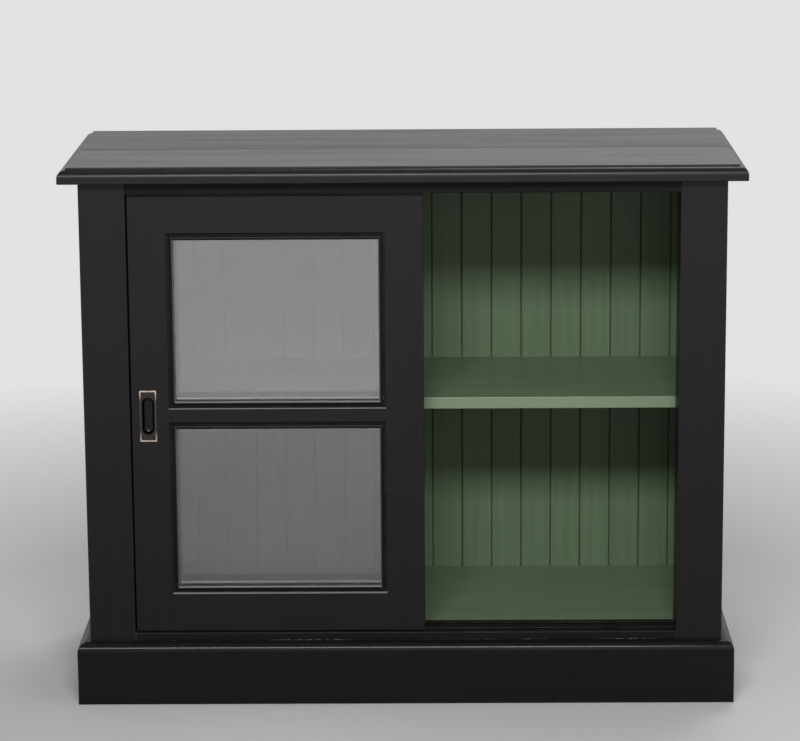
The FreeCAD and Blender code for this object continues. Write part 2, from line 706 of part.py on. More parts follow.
def door(label, face, pull_on_left):
    rear = f"({face} + door_thickness)"
    middle = f"({face} + door_thickness / 2)"
    thickness = (face, rear)
    tongue = (f"{middle} - track_tongue / 2", f"{middle} + track_tongue / 2")
    tenon = (f"{middle} - tenon_thickness / 2", f"{middle} + tenon_thickness / 2")
    foot_tongue = (f"{SILL_GROOVE_FLOOR} + tongue_lift", DOOR_FOOT)
    crown_tongue = (DOOR_CROWN, f"{HEAD_GROOVE_ROOF} - tongue_headroom")
    rails = {
        "rail_bottom": (DOOR_FOOT, LOWER_PANE),
        "rail_middle": (MIDDLE_FOOT, UPPER_PANE),
        "rail_top": (TOP_RAIL_FOOT, DOOR_CROWN),
    }
    rail_tongues = {"rail_bottom": foot_tongue, "rail_top": crown_tongue}
    mortises = []
    for name, (low, high) in rails.items():
        tenon_height = (f"{low} + tenon_shoulder", f"{high} - tenon_shoulder")
        tenon_across = (f"{PANE_LEFT} - {TENON_LENGTH}", f"{PANE_RIGHT} + {TENON_LENGTH}")
        mortise_across = (f"{tenon_across[0]} - glue_gap", f"{tenon_across[1]} + glue_gap")
        mortises.append((mortise_across, tenon, tenon_height))
        blocks = [((PANE_LEFT, PANE_RIGHT), thickness, (low, high)), (tenon_across, tenon, tenon_height)]
        if name in rail_tongues:
            blocks.append(((PANE_LEFT, PANE_RIGHT), tongue, rail_tongues[name]))
        board(f"{label}_{name}", blocks)
        pane_edges = [edge for edge in (low, high) if edge not in (DOOR_FOOT, DOOR_CROWN)]

        def rail_arris(middle):
            return same(middle.y, face) and any(same(middle.z, edge) for edge in pane_edges)

        eased(f"{label}_{name}", [("arris_round", rail_arris)])

    pull_x = f"({DOOR_LEFT} + pull_offset)" if pull_on_left else f"({DOOR_RIGHT} - pull_offset)"
    pull(f"{label}_pull", pull_x, face)
    seat_margin = "2 * (cup_wall + fastener_clearance)"
    seat_rear = f"{face} + cup_depth + cup_wall + glue_gap"
    stiles = {"left": (DOOR_LEFT, PANE_LEFT), "right": (PANE_RIGHT, DOOR_RIGHT)}
    for hand, across in stiles.items():
        name = f"{label}_stile_{hand}"
        tools = []
        if pull_on_left == (hand == "left"):
            tools.append(stadium(f"{name}_pull_seat", pull_x, f"cup_width + {seat_margin}",
                                 f"cup_height + {seat_margin}", (face, seat_rear)))
        blocks = [(across, thickness, (DOOR_FOOT, DOOR_CROWN)),
                  (across, tongue, foot_tongue), (across, tongue, crown_tongue)]
        board(name, blocks, mortises, tools)
        outer = across[0] if hand == "left" else across[1]
        eased(name, [("arris_round", lambda middle: same(middle.x, outer) and same(middle.z, DOOR_MIDDLE))])

    glass_face = f"({face} + moulding_inset)"
    glass_rear = f"({glass_face} + glass_thickness)"
    beads = []
    for name, foot in (("lower", LOWER_PANE), ("upper", UPPER_PANE)):
        pane_moulding(f"{label}_{name}_moulding", foot, glass_face)
        across = (f"{PANE_LEFT} + glass_gap", f"{PANE_RIGHT} - glass_gap")
        height = (f"{foot} + glass_gap", f"{foot} + {PANE_HEIGHT} - glass_gap")
        board(f"{label}_glass_{name}", [(across, (glass_face, glass_rear), height)])
        beads += glazing_strips(f"{label}_bead_{name}", foot, (glass_rear, rear))
    group(f"{label}_glazing_beads", beads)


door("front_door", DOOR_FACES["front_door"], True)
door("rear_door", DOOR_FACES["rear_door"], False)

doc.recompute()
failed = [item.Name for item in doc.Objects if "Invalid" in item.State or "Error" in item.State]
if failed:
    raise RuntimeError(f"objects that failed: {failed}")
for label, thing in nodes.items():
    if thing.Shape.isNull() or not thing.Shape.isValid() or not thing.Shape.Solids:
        raise RuntimeError(f"bad shape: {label}")

os.makedirs("parts", exist_ok=True)
for label, thing in nodes.items():
    thing.Shape.exportStep(f"parts/{label}.step")
print(len(nodes), "sub-parts,", sum(len(thing.Shape.Solids) for thing in nodes.values()), "solids")
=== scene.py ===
import math

import bpy
import numpy as np
from mathutils import Matrix, Vector


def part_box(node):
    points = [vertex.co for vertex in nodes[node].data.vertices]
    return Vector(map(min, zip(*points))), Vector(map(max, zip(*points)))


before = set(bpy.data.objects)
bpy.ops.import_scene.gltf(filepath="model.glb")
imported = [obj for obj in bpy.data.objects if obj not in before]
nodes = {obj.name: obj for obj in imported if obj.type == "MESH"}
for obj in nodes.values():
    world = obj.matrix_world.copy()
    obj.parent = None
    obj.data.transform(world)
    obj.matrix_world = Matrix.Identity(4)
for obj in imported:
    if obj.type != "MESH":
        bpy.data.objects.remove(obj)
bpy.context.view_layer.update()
bpy.context.scene.view_settings.view_transform = "Standard"


# Face posts and plinth: planed pine, the posts full height, the plinth boards mitred round their
# feet. Satin black is brushed on along the grain, which shows faintly through it, and the arrises
# are rubbed.
def feed(tree, item, values):
    """Set each input of a node to its value, or link it where the value is a node's socket."""
    for socket, value in values.items():
        if isinstance(value, bpy.types.NodeSocket):
            tree.links.new(value, item.inputs[socket])
        else:
            item.inputs[socket].default_value = value
    return item


def add(tree, kind, values=None, **settings):
    """A new node with its settings made and its inputs fed."""
    item = tree.nodes.new(kind)
    for name, setting in settings.items():
        setattr(item, name, setting)
    return feed(tree, item, values or {})


def maths(tree, operation, first, second=0.0, clamp=False):
    """The result of one sum on two values."""
    item = add(tree, "ShaderNodeMath", {0: first, 1: second}, operation=operation, use_clamp=clamp)
    return item.outputs[0]


def product(tree, first, *others):
    """Values multiplied one after the other."""
    for other in others:
        first = maths(tree, "MULTIPLY", first, other)
    return first


def blend(tree, share, first, second):
    """Two values in fixed shares: share * first + (1 - share) * second."""
    return maths(tree, "ADD", product(tree, first, share), product(tree, second, 1.0 - share))


def between(tree, value, low, high, to_low=0.0, to_high=1.0):
    """A value carried from one range into another, held inside it."""
    item = add(tree, "ShaderNodeMapRange", {"Value": value, "From Min": low, "From Max": high,
                                            "To Min": to_low, "To Max": to_high}, clamp=True)
    return item.outputs["Result"]


def tint(tree, share, first, second):
    """Two colours mixed by a share."""
    item = add(tree, "ShaderNodeMix", {0: share, 6: first, 7: second}, data_type="RGBA")
    return item.outputs[2]


def noise(tree, place, scale, detail, roughness=0.5):
    """Cloudy noise from 0 to 1."""
    item = add(tree, "ShaderNodeTexNoise", {"Vector": place, "Scale": scale, "Detail": detail,
                                            "Roughness": roughness})
    return item.outputs["Fac"]


def here(tree):
    """A point's place in object coordinates."""
    return add(tree, "ShaderNodeTexCoord").outputs["Object"]


def mapped(tree, place, moves):
    """A place that is shifted, turned or scaled."""
    return add(tree, "ShaderNodeMapping", {"Vector": place, **moves}).outputs[0]


def axes(tree, vector):
    """A vector as separate X, Y and Z."""
    return add(tree, "ShaderNodeSeparateXYZ", {0: vector}).outputs


def effect(name, inputs, outputs):
    """An empty node group with its sockets, and the nodes that hold them."""
    tree = bpy.data.node_groups.new(name, "ShaderNodeTree")
    for label, kind in inputs.items():
        tree.interface.new_socket(label, in_out="INPUT", socket_type=kind)
    for label in outputs:
        tree.interface.new_socket(label, in_out="OUTPUT", socket_type="NodeSocketFloat")
    return tree, tree.nodes.new("NodeGroupInput").outputs, tree.nodes.new("NodeGroupOutput")


# fibres are fine noise drawn out along the grain; the figure is broad, bent bands
FIBRE_STRETCH = (1.0, 1.0, 0.035)
FIGURE_STRETCH = (1.0, 1.0, 0.11)
grain, taken, given = effect("board_grain", {"Place": "NodeSocketVector"}, ["Fibre", "Figure"])
fibre = noise(grain, mapped(grain, taken["Place"], {"Scale": FIBRE_STRETCH}),
              scale=620.0, detail=4.0, roughness=0.62)
bent = mapped(grain, taken["Place"], {"Scale": FIGURE_STRETCH})
figure = add(grain, "ShaderNodeTexWave", {"Vector": bent, "Scale": 17.0, "Distortion": 7.0,
                                          "Detail": 3.0, "Detail Scale": 1.6,
                                          "Detail Roughness": 0.55},
             wave_type="BANDS", bands_direction="X", wave_profile="SIN")
feed(grain, given, {"Fibre": fibre, "Figure": figure.outputs["Fac"]})

# rubbing is strongest where a rounded corner would turn away most, and comes and goes along it;
# the turn is a cosine, and patches, specks and spots start and fill within spans of their noise
TURN = (0.985, 0.80)
RUB_PATCHES = (0.38, 0.70)
CHIP_SPECKS = (0.60, 0.66)
CHIP_SPOTS = (0.60, 0.65)
rub, taken, given = effect("rubbed_edge", {"Place": "NodeSocketVector", "Reach": "NodeSocketFloat"},
                           ["Rub", "Chip"])
softened = add(rub, "ShaderNodeBevel", {"Radius": taken["Reach"]}, samples=4)
surface = add(rub, "ShaderNodeNewGeometry")
facing = add(rub, "ShaderNodeVectorMath", {0: softened.outputs[0], 1: surface.outputs["Normal"]},
             operation="DOT_PRODUCT")
turned = between(rub, facing.outputs["Value"], *TURN)
patches = noise(rub, taken["Place"], scale=21.0, detail=5.0, roughness=0.65)
specks = noise(rub, taken["Place"], scale=260.0, detail=2.0)
spots = noise(rub, taken["Place"], scale=34.0, detail=2.0)
feed(rub, given, {"Rub": product(rub, turned, between(rub, patches, *RUB_PATCHES)),
                  "Chip": product(rub, between(rub, specks, *CHIP_SPECKS),
                                  between(rub, spots, *CHIP_SPOTS), turned)})

# turns that bring a board's length to the grain's own direction
ALONG_Z = (0.0, 0.0, 0.0)
ALONG_X = (0.0, -math.pi / 2, 0.0)
ALONG_Y = (math.pi / 2, 0.0, 0.0)

BLACK = (0.0047, 0.0041, 0.0044, 1.0)
BLACK_THIN = (0.0061, 0.0054, 0.0057, 1.0)
BLACK_RUBBED = (0.048, 0.044, 0.042, 1.0)
PRIMER = (0.40, 0.37, 0.34, 1.0)
BLACK_REACH = 0.0022
BLACK_SATIN = {"smooth": 0.44, "rough": 0.50, "raised": 0.06, "skin": 0.12}
PAINT_DULL, SKIN_ROUGH = 0.09, 0.20
RELIEF_DEPTH = 0.0006
FIGURE_IN_STREAKS = 0.55
FIBRE_IN_RELIEF = 0.6
NOISE_SPAN = (0.2, 0.8)


def new_material(name):
    """A material with only a Principled shader on its output."""
    made = bpy.data.materials.new(name)
    made.use_nodes = True
    return made, made.node_tree, made.node_tree.nodes["Principled BSDF"]


def painted_look(tree, place, dark, thin, rubbed=None, reach=0.0):
    """Colour, streaks and relief of paint on a board, from its grain and, if rubbed, its wear."""
    lines = add(tree, "ShaderNodeGroup", {"Place": place}, node_tree=grain).outputs
    cloud = noise(tree, place, scale=5.0, detail=4.0)
    streak = blend(tree, FIGURE_IN_STREAKS, lines["Figure"], cloud)
    colour = tint(tree, streak, dark, thin)
    if rubbed:
        wear = add(tree, "ShaderNodeGroup", {"Place": place, "Reach": reach}, node_tree=rub).outputs
        colour = tint(tree, wear["Rub"], colour, rubbed)
        colour = tint(tree, wear["Chip"], colour, PRIMER)
    relief = blend(tree, FIBRE_IN_RELIEF, lines["Fibre"], lines["Figure"])
    return colour, streak, relief


def satin(tree, shader, streak, relief, smooth, rough, raised, skin):
    """Sheen of brushed paint: dull, under a thin clear skin that keeps the highlights crisp."""
    bump = add(tree, "ShaderNodeBump", {"Strength": raised, "Distance": RELIEF_DEPTH,
                                        "Height": relief})
    feed(tree, shader, {"Roughness": between(tree, streak, *NOISE_SPAN, smooth, rough),
                        "Normal": bump.outputs[0], "Specular IOR Level": PAINT_DULL,
                        "Coat Weight": skin, "Coat Roughness": SKIN_ROUGH})


def black_paint(name, turn, shift=(0.0, 0.0, 0.0), rubbed=BLACK_RUBBED):
    """Satin black: a low, even sheen that is a little rougher where the grain is raised."""
    made, tree, shader = new_material(name)
    place = mapped(tree, here(tree), {"Rotation": turn, "Location": shift})
    colour, streak, relief = painted_look(tree, place, BLACK, BLACK_THIN, rubbed, BLACK_REACH)
    feed(tree, shader, {"Base Color": colour})
    satin(tree, shader, streak, relief, **BLACK_SATIN)
    return made


def sheen(material, dull, skin, skin_rough):
    """Give a paint its own dull sheen, and the weight and roughness of the clear skin over it."""
    tree = material.node_tree
    feed(tree, tree.nodes["Principled BSDF"], {"Specular IOR Level": dull, "Coat Weight": skin,
                                               "Coat Roughness": skin_rough})
    return material


def lay_over(material, share, colour):
    """Mix a colour over a material's own one by a share."""
    tree = material.node_tree
    shader = tree.nodes["Principled BSDF"]
    beneath = shader.inputs["Base Color"].links[0].from_socket
    feed(tree, shader, {"Base Color": tint(tree, share, beneath, colour)})
    return material


def finish_with(material, *names):
    """Put a material on CAD nodes, in place of the slot's plain one."""
    for name in names:
        nodes[name].data.materials.clear()
        nodes[name].data.materials.append(material)


# the paint has cracked where boards meet: dashes gather in runs, on a line that fades upwards
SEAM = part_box("plinth_front")[1].z
SEAM_BELOW = SEAM - 0.001
SEAM_FADES = (SEAM + 0.0013, SEAM + 0.0005)
SEAM_DASHES = (0.45, 0.60)
SEAM_RUNS = (0.52, 0.62)
SEAM_PALE = 0.28


def cracked_seam(material):
    """Paint cracked along the plinth: short pale dashes in a broken line just above it."""
    tree = material.node_tree
    place = here(tree)
    height = axes(tree, place)["Z"]
    dashes = between(tree, noise(tree, place, scale=150.0, detail=3.0), *SEAM_DASHES)
    runs = between(tree, noise(tree, place, scale=9.0, detail=1.0), *SEAM_RUNS, 0.0, SEAM_PALE)
    just_above = product(tree, between(tree, height, *SEAM_FADES),
                         maths(tree, "GREATER_THAN", height, SEAM_BELOW))
    return lay_over(material, product(tree, dashes, runs, just_above), PRIMER)


PLINTH_SHEEN = {"dull": 0.04, "skin": 0.12, "skin_rough": 0.15}
finish_with(cracked_seam(black_paint("black_paint_upright", ALONG_Z)),
            "post_front_left", "post_front_right")
finish_with(sheen(black_paint("black_paint_plinth_front", ALONG_X), **PLINTH_SHEEN), "plinth_front")
finish_with(sheen(black_paint("black_paint_plinth_sides", ALONG_Y), **PLINTH_SHEEN),
            "plinth_left", "plinth_right")


# Side panels: solid pine panels tongued into the posts, black outside and green inside. The green
# stops at the inner face and at the cabinet's floor, so one material carries both colours and
# divides them by place.
GREEN = (0.080, 0.117, 0.065, 1.0)
GREEN_THIN = (0.098, 0.138, 0.080, 1.0)
# pale green for rubbed edges, and for painted light on the shelf's front
GREEN_WORN_AND_LIT = (0.130, 0.175, 0.107, 1.0)
PAST_FACE = 0.001
INNER_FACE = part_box("side_panel_right")[0].x + PAST_FACE
UNDER_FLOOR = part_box("floor_panel")[0].z

side_paint, tree, shader = new_material("side_panel_paint")
place = here(tree)
at = axes(tree, place)
outside = maths(tree, "GREATER_THAN", maths(tree, "ABSOLUTE", at["X"]), INNER_FACE)
outside = maths(tree, "MAXIMUM", outside, maths(tree, "LESS_THAN", at["Z"], UNDER_FLOOR))
black_colour, streak, relief = painted_look(tree, place, BLACK, BLACK_THIN, BLACK_RUBBED,
                                            BLACK_REACH)
green_colour = tint(tree, streak, GREEN, GREEN_THIN)
feed(tree, shader, {"Base Color": tint(tree, outside, green_colour, black_colour)})
satin(tree, shader, streak, relief, **BLACK_SATIN)
finish_with(side_paint, "side_panel_left", "side_panel_right")


# Door head and sill: pine track boards, stub-tenoned into the posts. Each has two grooves for the
# doors' tongues. The sliding doors have worn the paint dull. The sill's arrises are painted pale,
# partly as wear and partly as painted highlight, and its grooves darker, as painted shade.
# colour of the sill's rubbed arrises: partly wear, made lighter as painted highlight
TRACK_WORN_AND_HIGHLIGHT = (0.10, 0.092, 0.088, 1.0)
# painted shade laid into the sill's grooves
SILL_GROOVE_SHADE = (0.0010, 0.0009, 0.0009, 1.0)
HEAD_SHEEN = {"dull": 0.045, "skin": 0.03, "skin_rough": 0.20}
SILL_SHEEN = {"dull": 0.06, "skin": 0.03, "skin_rough": 0.20}
sill_low, sill_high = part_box("door_sill")
# depths below the sill's top where the painted groove shade starts, and where it is full
SILL_SHADE_DEEPENS = (sill_high.z - 0.0010, sill_high.z - 0.0030)
BEHIND_LIP = sill_low.y + 0.003

finish_with(sheen(black_paint("black_paint_head", ALONG_X), **HEAD_SHEEN), "door_head")
black_sill = sheen(black_paint("black_paint_sill", ALONG_X, rubbed=TRACK_WORN_AND_HIGHLIGHT), **SILL_SHEEN)
tree = black_sill.node_tree
at = axes(tree, here(tree))
# painted shade: the grooves behind the lip darken with depth
painted_groove_shade = product(tree, between(tree, at["Z"], *SILL_SHADE_DEEPENS),
               maths(tree, "GREATER_THAN", at["Y"], BEHIND_LIP))
finish_with(cracked_seam(lay_over(black_sill, painted_groove_shade, SILL_GROOVE_SHADE)), "door_sill")


# Floor, shelf and back boards: pine in soft green paint. The floor lies on cleats and the shelf on
# pins; the boards are tongued together with V-joints and nailed to rails. Their backs, the rails
# and the cleats are left bare.
PINE = (0.50, 0.33, 0.17, 1.0)
PINE_LATE = (0.37, 0.215, 0.098, 1.0)
KNOT = (0.16, 0.075, 0.032, 1.0)
JOINT_SHADOW = (0.045, 0.028, 0.015, 1.0)
GREEN_REACH = 0.0018
GREEN_SATIN = {"smooth": 0.42, "rough": 0.50, "raised": 0.10, "skin": 0.30}
# depths behind a front face where its painted light starts, and where it is full
FRONT_LIT_STARTS, FRONT_LIT_FULL = 0.0016, 0.0004
FRONT_LIT_PALE = 0.85


def green_paint(name, turn, front=None):
    """Green with a soft gloss, thinner on the raised grain, and painted lighter on a front face as
    painted light.
    """
    made, tree, shader = new_material(name)
    place = mapped(tree, here(tree), {"Rotation": turn})
    colour, streak, relief = painted_look(tree, place, GREEN, GREEN_THIN, GREEN_WORN_AND_LIT, GREEN_REACH)
    if front is not None:
        depth = axes(tree, here(tree))["Y"]
        # painted light: the front face is painted lighter
        front_lit = between(tree, depth, front + FRONT_LIT_STARTS, front + FRONT_LIT_FULL, 0.0, FRONT_LIT_PALE)
        colour = tint(tree, front_lit, colour, GREEN_WORN_AND_LIT)
    feed(tree, shader, {"Base Color": colour})
    satin(tree, shader, streak, relief, **GREEN_SATIN)
    return made


finish_with(green_paint("green_paint_floor", ALONG_X), "floor_panel")
finish_with(green_paint("green_paint_shelf", ALONG_X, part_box("shelf")[0].y), "shelf")

CLOSER = (1.9, 1.9, 0.9)
LATE_SPAN, LATE_SHARE = (0.25, 0.75), (0.5, 1.0)
KNOT_STRETCH = (1.0, 1.0, 0.6)
KNOT_RIM = (0.075, 0.045)
KNOT_DARK = 0.85
PINE_ROUGH = (0.58, 0.72)
PINE_RELIEF, PINE_RELIEF_DEPTH = 0.2, 0.0005


def pine_look(tree, place):
    """Colour and fibre of planed pine: pale early wood, fine bands of late wood, small knots."""
    lines = add(tree, "ShaderNodeGroup", {"Place": mapped(tree, place, {"Scale": CLOSER})},
                node_tree=grain).outputs
    late = product(tree, lines["Figure"], between(tree, lines["Fibre"], *LATE_SPAN, *LATE_SHARE))
    wood = tint(tree, late, PINE, PINE_LATE)
    drawn_out = mapped(tree, place, {"Scale": KNOT_STRETCH})
    cells = add(tree, "ShaderNodeTexVoronoi", {"Vector": drawn_out, "Scale": 6.0})
    knot = between(tree, cells.outputs["Distance"], *KNOT_RIM, 0.0, KNOT_DARK)
    return tint(tree, knot, wood, KNOT), lines["Fibre"]


def bare_pine(name, turn):
    """Planed pine without paint, dull all over."""
    made, tree, shader = new_material(name)
    wood, fibre = pine_look(tree, mapped(tree, here(tree), {"Rotation": turn}))
    bump = add(tree, "ShaderNodeBump", {"Strength": PINE_RELIEF, "Distance": PINE_RELIEF_DEPTH,
                                        "Height": fibre})
    feed(tree, shader, {"Base Color": wood, "Normal": bump.outputs[0],
                        "Roughness": between(tree, fibre, *NOISE_SPAN, *PINE_ROUGH)})
    return made


finish_with(bare_pine("bare_pine_across", ALONG_X), "top_rear_rail", "bottom_rear_rail")
finish_with(bare_pine("bare_pine_front_to_back", ALONG_Y), "floor_cleat_left", "floor_cleat_right",
            "top_cleat_left", "top_cleat_right")

# boards are numbered by place, so that each has its own tone and its own length of grain
BOARD_NAMES = [name for name in nodes if name.startswith("back_board_")]
FULL_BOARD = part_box("back_board_05")
BOARD_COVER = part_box("back_board_05")[1].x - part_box("back_board_06")[1].x
BOARD_FRONT = FULL_BOARD[0].y
BARE_DEPTH = 0.0006
BOARD_REAR = FULL_BOARD[1].y - BARE_DEPTH
BOARD_REACH = 0.0012
BOARD_LIFT = 1.37
# painted shade in the V-joints, darker as the groove sinks behind the boards' face
BOARD_GROOVE_SHADE = (0.042, 0.061, 0.033, 1.0)
BOARD_GROOVE_SINKS = (BOARD_FRONT + 0.0003, BOARD_FRONT + 0.0012)
BOARD_SHADE = (0.047, 0.072, 0.039, 1.0)
SHADE_SPREAD = (0.14, 0.34)
BARE_SPREAD = (0.0, 0.45)
JOINT_FADES = (0.0003 / BOARD_COVER, 0.0009 / BOARD_COVER)
JOINT_DARK = 0.9
BOARD_SATIN = {"smooth": 0.46, "rough": 0.54, "raised": 0.14}
BOARD_SKIN = 0.08

board_paint, tree, shader = new_material("back_board_paint")
at = axes(tree, here(tree))
steps = maths(tree, "DIVIDE", maths(tree, "SUBTRACT", at["X"], FULL_BOARD[1].x), BOARD_COVER)
number = maths(tree, "FLOOR", steps)
lift = maths(tree, "ADD", at["Z"], product(tree, number, BOARD_LIFT))
place = add(tree, "ShaderNodeCombineXYZ", {"X": at["X"], "Y": at["Y"], "Z": lift}).outputs[0]
own = add(tree, "ShaderNodeTexWhiteNoise", {"W": number}, noise_dimensions="1D").outputs["Value"]
colour, streak, relief = painted_look(tree, place, GREEN, GREEN_THIN, GREEN_WORN_AND_LIT, BOARD_REACH)
colour = tint(tree, between(tree, own, 0.0, 1.0, *SHADE_SPREAD), colour, BOARD_SHADE)
# painted shade in the V-joints
colour = tint(tree, between(tree, at["Y"], *BOARD_GROOVE_SINKS), colour, BOARD_GROOVE_SHADE)
bare, _ = pine_look(tree, place)
bare = tint(tree, between(tree, own, 0.0, 1.0, *BARE_SPREAD), bare, PINE_LATE)
across = maths(tree, "SUBTRACT", steps, number)
off_joint = maths(tree, "MINIMUM", across, maths(tree, "SUBTRACT", 1.0, across))
bare = tint(tree, between(tree, off_joint, *JOINT_FADES, JOINT_DARK, 0.0), bare, JOINT_SHADOW)
is_rear = maths(tree, "GREATER_THAN", at["Y"], BOARD_REAR)
feed(tree, shader, {"Base Color": tint(tree, is_rear, colour, bare)})
skin = product(tree, maths(tree, "SUBTRACT", 1.0, is_rear), BOARD_SKIN)
satin(tree, shader, streak, relief, skin=skin, **BOARD_SATIN)
finish_with(board_paint, *BOARD_NAMES)


# Shelf pins, screws and nails: plain bright steel, unevenly dulled by handling. The pins are
# pushed into the side panels, the screws hold the top and the nails the back boards.
STEEL = (0.50, 0.49, 0.47, 1.0)
STEEL_DULL = (0.30, 0.29, 0.28, 1.0)
STEEL_SPAN, STEEL_ROUGH = (0.3, 0.7), (0.28, 0.46)
steel, tree, shader = new_material("dull_steel")
handled = noise(tree, here(tree), scale=420.0, detail=3.0)
feed(tree, shader, {"Base Color": tint(tree, handled, STEEL, STEEL_DULL), "Metallic": 1.0,
                    "Roughness": between(tree, handled, *STEEL_SPAN, *STEEL_ROUGH)})
finish_with(steel, "shelf_pins", "top_screws", "back_nails")


# Top: two pine boards glued edge to edge, moulded along the front and the ends. Use has polished
# the flat more than the moulding, and the front board more than the rear one. The glue line shows
# dull in the sheen.
TOP_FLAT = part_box("top_board_front")[1].z
TOP_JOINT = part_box("top_board_rear")[0].y
POLISH_STARTS = (TOP_FLAT - 0.0008, TOP_FLAT - 0.0002)
MOULDING_SKIN = 0.14
# distances from the glue line, in metres
NEAR_JOINT = (0.0, 0.05)
GLUE_LINE = (0.004, 0.012)
GLUE_DULL = 0.50
FILLED = (0.003, 0.005)
TOP_BOARDS = {"top_board_front": {"shift": (0.0, 0.0, 0.0), "flat_skin": 0.225, "by_joint": 1.0},
              "top_board_rear": {"shift": (0.0, 0.0, 2.4), "flat_skin": 0.17, "by_joint": 0.80}}
for board, own in TOP_BOARDS.items():
    polished = black_paint(f"black_paint_{board}", ALONG_X, own["shift"])
    tree = polished.node_tree
    at = axes(tree, here(tree))
    off_joint = maths(tree, "ABSOLUTE", maths(tree, "SUBTRACT", at["Y"], TOP_JOINT))
    skin = product(tree, between(tree, at["Z"], *POLISH_STARTS, MOULDING_SKIN, own["flat_skin"]),
                   between(tree, off_joint, *NEAR_JOINT, own["by_joint"], 1.0),
                   between(tree, off_joint, *GLUE_LINE, GLUE_DULL, 1.0))
    sheen(polished, dull=0.09, skin=skin, skin_rough=0.27)
    lay_over(polished, between(tree, off_joint, *FILLED, 1.0, 0.0), BLACK)
    finish_with(polished, board)


# Doors: pine frames, mortised and tenoned, in the same black. The joints are filled and painted
# over, so the frames stay whole to the eye. The mitred mouldings and the rails round each pane are
# painted pale where they face up or in, as painted highlight.
MOULDING_HIGHLIGHT = (0.15, 0.14, 0.14, 1.0)
# spans of a normal's upward or inward part
TURNS_UP = (0.20, 0.45)
LIES_FLAT = (0.85, 0.97)
TURNS_IN = (0.35, 0.60)
FACES_IN = (0.88, 0.98)
UPRIGHT_PALE = 0.7


def paint_highlight(material, below, on_turn, on_flat, middle=None):
    """Painted highlight where a face turns up or lies flat below a height, or turns to a middle."""
    tree = material.node_tree
    facing = axes(tree, add(tree, "ShaderNodeNewGeometry").outputs["Normal"])
    at = axes(tree, here(tree))
    # painted highlight on faces turned up, below a height
    pale = product(tree, between(tree, facing["Z"], *TURNS_UP),
                   between(tree, facing["Z"], *LIES_FLAT, on_turn, on_flat),
                   maths(tree, "LESS_THAN", at["Z"], below))
    if middle is not None:
        side = maths(tree, "SIGN", maths(tree, "SUBTRACT", middle, at["X"]))
        inward = product(tree, facing["X"], side)
        upright = product(tree, between(tree, inward, *TURNS_IN),
                          between(tree, inward, *FACES_IN, UPRIGHT_PALE * on_turn, on_flat))
        pale = maths(tree, "MAXIMUM", pale, upright)
    return lay_over(material, pale, MOULDING_HIGHLIGHT)


door_upright = black_paint("black_paint_door_upright", ALONG_Z, rubbed=None)
door_across = black_paint("black_paint_door_across", ALONG_X, rubbed=None)
# painted highlight on the rails' upward faces
door_ledge = paint_highlight(black_paint("black_paint_door_ledge", ALONG_X, rubbed=None),
                   below=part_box("front_door_rail_middle")[1].z, on_turn=0.9, on_flat=0.9)
for door in ("front_door", "rear_door"):
    finish_with(door_upright, f"{door}_stile_left", f"{door}_stile_right")
    finish_with(door_across, f"{door}_rail_top", f"{door}_glazing_beads")
    finish_with(door_ledge, f"{door}_rail_middle", f"{door}_rail_bottom")

STRIP_SHEEN = {"dull": 0.05, "skin": 0.06, "skin_rough": 0.20}
LOWER_STRIP = 0.025
for row in ("upper_moulding", "lower_moulding"):
    strips = sheen(black_paint(f"black_paint_{row}", ALONG_X), **STRIP_SHEEN)
    low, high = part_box(f"front_door_{row}")
    # painted highlight on the strips' upward and inward faces
    paint_highlight(strips, below=low.z + LOWER_STRIP, on_turn=0.85, on_flat=0.20,
          middle=(low.x + high.x) / 2)
    finish_with(strips, f"front_door_{row}", f"rear_door_{row}")


# Panes: drawn window glass, 4 mm, faintly wavy and a little grey, held between the mouldings and
# the strips behind them. Lamps shine through it, so that the inside stays lit.
GLASS = (0.72, 0.71, 0.72, 1.0)
GLASS_SHADOW = (0.70, 0.69, 0.70, 1.0)
GLASS_INDEX = 1.80
glass, tree, shader = new_material("window_glass")
waves = noise(tree, here(tree), scale=7.0, detail=1.0)
bump = add(tree, "ShaderNodeBump", {"Strength": 0.03, "Distance": 0.01, "Height": waves})
feed(tree, shader, {"Base Color": GLASS, "Roughness": 0.0, "IOR": GLASS_INDEX,
                    "Transmission Weight": 1.0, "Normal": bump.outputs[0]})
clear = add(tree, "ShaderNodeBsdfTransparent", {"Color": GLASS_SHADOW})
path = add(tree, "ShaderNodeLightPath")
through = add(tree, "ShaderNodeMixShader", {0: path.outputs["Is Shadow Ray"], 1: shader.outputs[0],
                                            2: clear.outputs[0]})
feed(tree, tree.nodes["Material Output"], {"Surface": through.outputs[0]})
for door in ("front_door", "rear_door"):
    finish_with(glass, f"{door}_glass_upper", f"{door}_glass_lower")


# Flush pulls: cups of pressed brass with a dark patina, let into the stiles. The raised rim is bare
# brass at its two ends and less along its sides, partly rubbed by fingers and partly painted
# highlight, brightest at the upper end as painted highlight. The cup's inside is darker still.
PATINA = (0.030, 0.027, 0.026, 1.0)
CUP = (0.016, 0.015, 0.015, 1.0)
RIM = (0.58, 0.47, 0.38, 1.0)
# depths behind the rim's front, in metres
RIM_FRONT = (0.0006, 0.0002)
CUP_INSIDE = (0.0025, 0.0045)
